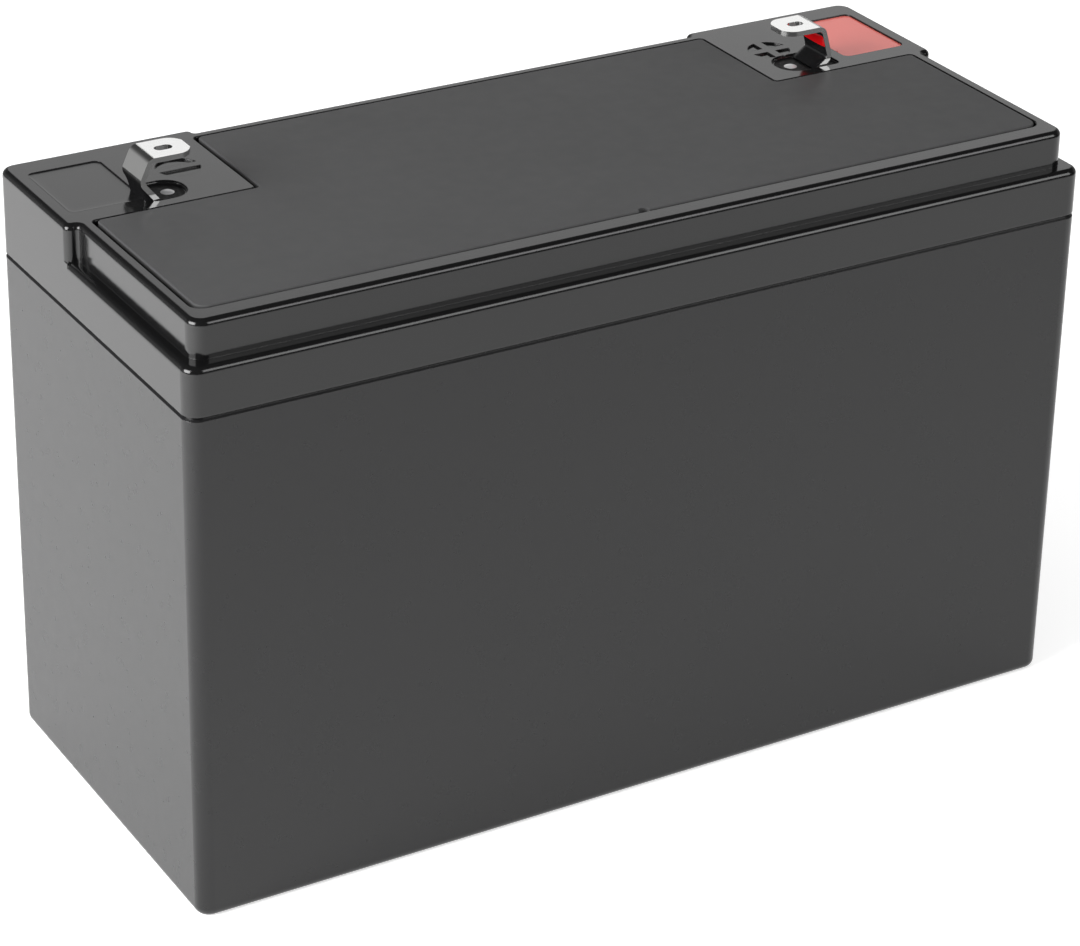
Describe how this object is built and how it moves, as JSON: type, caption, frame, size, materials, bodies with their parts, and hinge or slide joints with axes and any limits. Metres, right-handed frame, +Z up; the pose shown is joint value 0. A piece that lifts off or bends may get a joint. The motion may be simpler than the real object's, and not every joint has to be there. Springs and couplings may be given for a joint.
{
  "type": "sealed lead acid battery",
  "caption": "Sealed lead acid battery in a plain rectangular case with a stepped lid, a flush cover plate and bent blade tabs in resin-filled pits.",
  "frame": {"origin": "middle of the underside of the case", "axes": "+X along the length towards the positive end, +Y across to the long face beside the terminals, +Z up"},
  "size_m": [0.151, 0.065, 0.1006],
  "materials": {
    "case_plastic": "moulded dark grey plastic with a fine grain",
    "lid_plastic": "moulded dark grey plastic, satin",
    "cover_plastic": "moulded dark grey plastic, satin",
    "tinned_metal": "bright tin plate",
    "solder": "bright solder",
    "black_resin": "glossy poured resin",
    "red_resin": "glossy poured resin",
    "rubber": "moulded rubber",
    "lead": "dull cast lead",
    "positive_paste": "dull brown paste on a lead grid",
    "negative_paste": "dull grey paste on a lead grid",
    "glass_mat": "white glass fibre mat"
  },
  "bodies": {
    "root": {"container": "case_plastic", "lid": "lid_plastic", "cover_plate": "cover_plastic", "positive_marker": "red_resin", "negative_terminal": "tinned_metal", "negative_solder": "solder", "negative_post": "lead", "negative_post_seal": "rubber", "negative_potting": "black_resin", "positive_terminal": "tinned_metal", "positive_solder": "solder", "positive_post": "lead", "positive_post_seal": "rubber", "positive_potting": "black_resin", "vent_cap_1": "rubber", "cell_1_positive_plates": "positive_paste", "cell_1_negative_plates": "negative_paste", "cell_1_separators": "glass_mat", "cell_1_positive_strap": "lead", "cell_1_negative_strap": "lead", "vent_cap_2": "rubber", "cell_2_positive_plates": "positive_paste", "cell_2_negative_plates": "negative_paste", "cell_2_separators": "glass_mat", "cell_2_positive_strap": "lead", "cell_2_negative_strap": "lead", "vent_cap_3": "rubber", "cell_3_positive_plates": "positive_paste", "cell_3_negative_plates": "negative_paste", "cell_3_separators": "glass_mat", "cell_3_positive_strap": "lead", "cell_3_negative_strap": "lead", "vent_cap_4": "rubber", "cell_4_positive_plates": "positive_paste", "cell_4_negative_plates": "negative_paste", "cell_4_separators": "glass_mat", "cell_4_positive_strap": "lead", "cell_4_negative_strap": "lead", "vent_cap_5": "rubber", "cell_5_positive_plates": "positive_paste", "cell_5_negative_plates": "negative_paste", "cell_5_separators": "glass_mat", "cell_5_positive_strap": "lead", "cell_5_negative_strap": "lead", "vent_cap_6": "rubber", "cell_6_positive_plates": "positive_paste", "cell_6_negative_plates": "negative_paste", "cell_6_separators": "glass_mat", "cell_6_positive_strap": "lead", "cell_6_negative_strap": "lead", "intercell_weld_1": "lead", "intercell_weld_2": "lead", "intercell_weld_3": "lead", "intercell_weld_4": "lead", "intercell_weld_5": "lead"}
  },
  "joints": []
}
